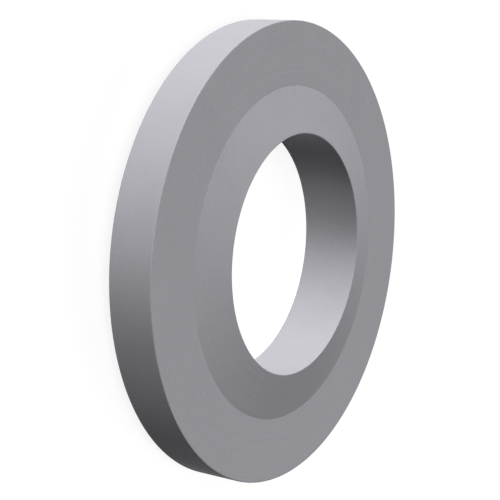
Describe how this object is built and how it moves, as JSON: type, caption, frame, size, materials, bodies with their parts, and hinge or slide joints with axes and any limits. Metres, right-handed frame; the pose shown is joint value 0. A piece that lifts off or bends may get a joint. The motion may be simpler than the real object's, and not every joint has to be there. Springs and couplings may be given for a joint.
{
  "type": "washer",
  "caption": "Round flat washer with a low conical boss on each face and a bore that widens slightly towards the back.",
  "frame": {"origin": "on the washer's axis, level with the crest of the back boss that it lies on", "axes": "+Z along the axis, out of the front face, where the bore is narrowest; X and Y in the plane it lies on"},
  "size_m": [0.02, 0.02, 0.0029],
  "materials": {
    "steel": "matte grey, fine turned"
  },
  "bodies": {
    "root": {"washer": "steel"}
  },
  "joints": []
}
